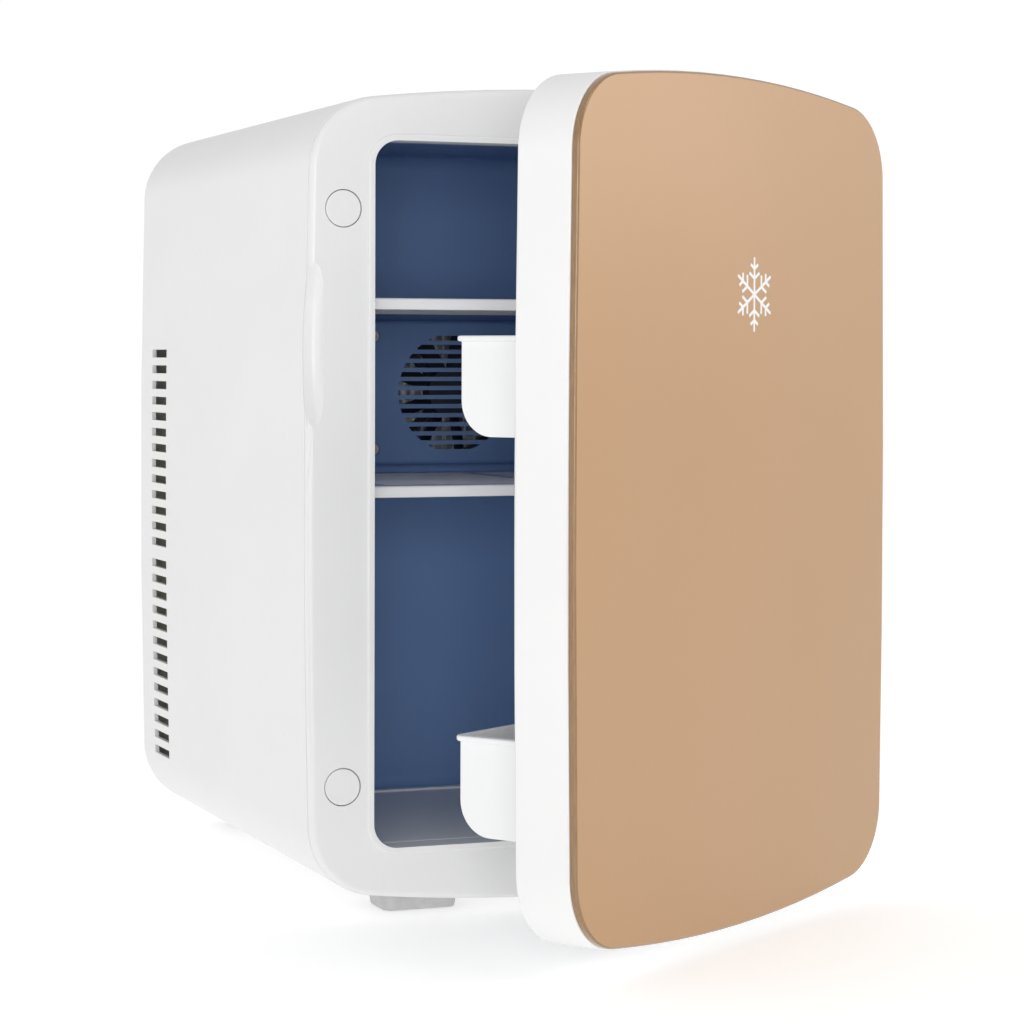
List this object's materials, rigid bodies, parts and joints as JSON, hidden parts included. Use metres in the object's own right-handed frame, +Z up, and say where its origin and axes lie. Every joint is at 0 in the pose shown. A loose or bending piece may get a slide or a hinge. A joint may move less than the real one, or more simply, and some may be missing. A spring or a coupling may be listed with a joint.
{
  "type": "mini fridge",
  "caption": "Counter-top mini fridge: arched white cabinet, tinted glass door with two lift-off bins, two shelves and thermoelectric cooling.",
  "frame": {"origin": "on the floor, under the middle of the cabinet's width and depth (the door not counted)", "axes": "+Z up, -Y out of the front of the cabinet, +X towards the hinge side"},
  "size_m": [0.2525, 0.4334, 0.34],
  "materials": {
    "body_white": "satin",
    "bezel_white": "satin",
    "door_white": "satin",
    "panel_white": "satin",
    "gold_glass": "gloss",
    "bin_white": "satin",
    "liner_blue": "satin",
    "tray_grey": "satin",
    "shelf_clear": "satin",
    "seal_rubber": "matte",
    "foot_grey": "matte",
    "foam": "matte",
    "sink_aluminium": "satin",
    "ceramic_white": "matte",
    "gasket_black": "matte",
    "fan_black": "satin",
    "socket_black": "satin",
    "rocker_grey": "gloss",
    "lens_green": "gloss",
    "tray_dark": "matte",
    "board_green": "satin",
    "core_steel": "satin",
    "capacitor_dark": "gloss",
    "screw_steel": "satin",
    "pin_steel": "polished",
    "magnet_dark": "matte",
    "bush_nylon": "satin"
  },
  "bodies": {
    "cabinet": {"ac_inlet": "socket_black", "board_tray": "tray_dark", "capacitors": "capacitor_dark", "cold_fan_housing": "fan_black", "cold_heat_sink": "sink_aluminium", "cold_spacer_block": "sink_aluminium", "dc_socket": "socket_black", "floor_tray": "tray_grey", "foot_front_left": "foot_grey", "foot_front_right": "foot_grey", "foot_rear_left": "foot_grey", "foot_rear_right": "foot_grey", "foot_screws": "screw_steel", "front_frame": "bezel_white", "heat_sink_screws": "screw_steel", "hot_fan_housing": "fan_black", "hot_fan_screws": "screw_steel", "hot_heat_sink": "sink_aluminium", "indicator_lens": "lens_green", "inner_fan_cover": "liner_blue", "inner_fan_cover_screws": "screw_steel", "inner_liner": "liner_blue", "insulation_foam": "foam", "lower_frame_magnet": "magnet_dark", "lower_hinge_pin": "pin_steel", "lower_magnet_cover": "bezel_white", "mode_switch_housing": "socket_black", "outer_shell": "body_white", "peltier_gasket": "gasket_black", "peltier_module": "ceramic_white", "power_board": "board_green", "rear_cover": "body_white", "rear_cover_screws": "screw_steel", "regulator_sink": "sink_aluminium", "socket_pins": "pin_steel", "temperature_sensor": "gasket_black", "thermal_cutoff": "core_steel", "transformer": "core_steel", "upper_frame_magnet": "magnet_dark", "upper_hinge_pin": "pin_steel", "upper_magnet_cover": "bezel_white"},
    "door": {"door_shell": "door_white", "door_glass": "gold_glass", "door_liner": "panel_white", "door_gasket": "seal_rubber", "door_insulation": "foam", "door_liner_screws": "screw_steel", "upper_door_magnet": "magnet_dark", "lower_door_magnet": "magnet_dark", "upper_hinge_lug": "door_white", "lower_hinge_lug": "door_white", "upper_hinge_bush": "bush_nylon", "lower_hinge_bush": "bush_nylon"},
    "upper_bin": {"upper_bin": "bin_white"},
    "lower_bin": {"lower_bin": "bin_white"},
    "upper_shelf": {"upper_shelf": "shelf_clear"},
    "lower_shelf": {"lower_shelf": "shelf_clear"},
    "cold_fan_rotor": {"cold_fan_rotor": "fan_black"},
    "hot_fan_rotor": {"hot_fan_rotor": "fan_black"},
    "mode_switch_rocker": {"mode_switch_rocker": "rocker_grey"}
  },
  "joints": [
    {"name": "door_hinge", "type": "hinge", "parent": "cabinet", "child": "door", "pos_m": [0.1075, -0.1382, 0.1725], "axis": [0, 0, 1], "range_deg": [-33.6, 66.4]},
    {"name": "upper_bin_lift", "type": "slide", "parent": "door", "child": "upper_bin", "axis": [0, 0, 1], "range_m": [0, 0.007]},
    {"name": "lower_bin_lift", "type": "slide", "parent": "door", "child": "lower_bin", "axis": [0, 0, 1], "range_m": [0, 0.007]},
    {"name": "upper_shelf_slide", "type": "slide", "parent": "cabinet", "child": "upper_shelf", "axis": [0, -1, 0], "range_m": [0, 0.01]},
    {"name": "lower_shelf_slide", "type": "slide", "parent": "cabinet", "child": "lower_shelf", "axis": [0, -1, 0], "range_m": [0, 0.01]},
    {"name": "cold_fan_spin", "type": "hinge", "parent": "cabinet", "child": "cold_fan_rotor", "pos_m": [0, 0.016, 0.2126], "axis": [0, 1, 0], "continuous": true},
    {"name": "hot_fan_spin", "type": "hinge", "parent": "cabinet", "child": "hot_fan_rotor", "pos_m": [0, 0.1005, 0.2126], "axis": [0, 1, 0], "continuous": true},
    {"name": "mode_switch_rock", "type": "hinge", "parent": "cabinet", "child": "mode_switch_rocker", "pos_m": [-0.036, 0.139, 0.07], "axis": [0, 0, 1], "range_deg": [-10, 10]}
  ]
}
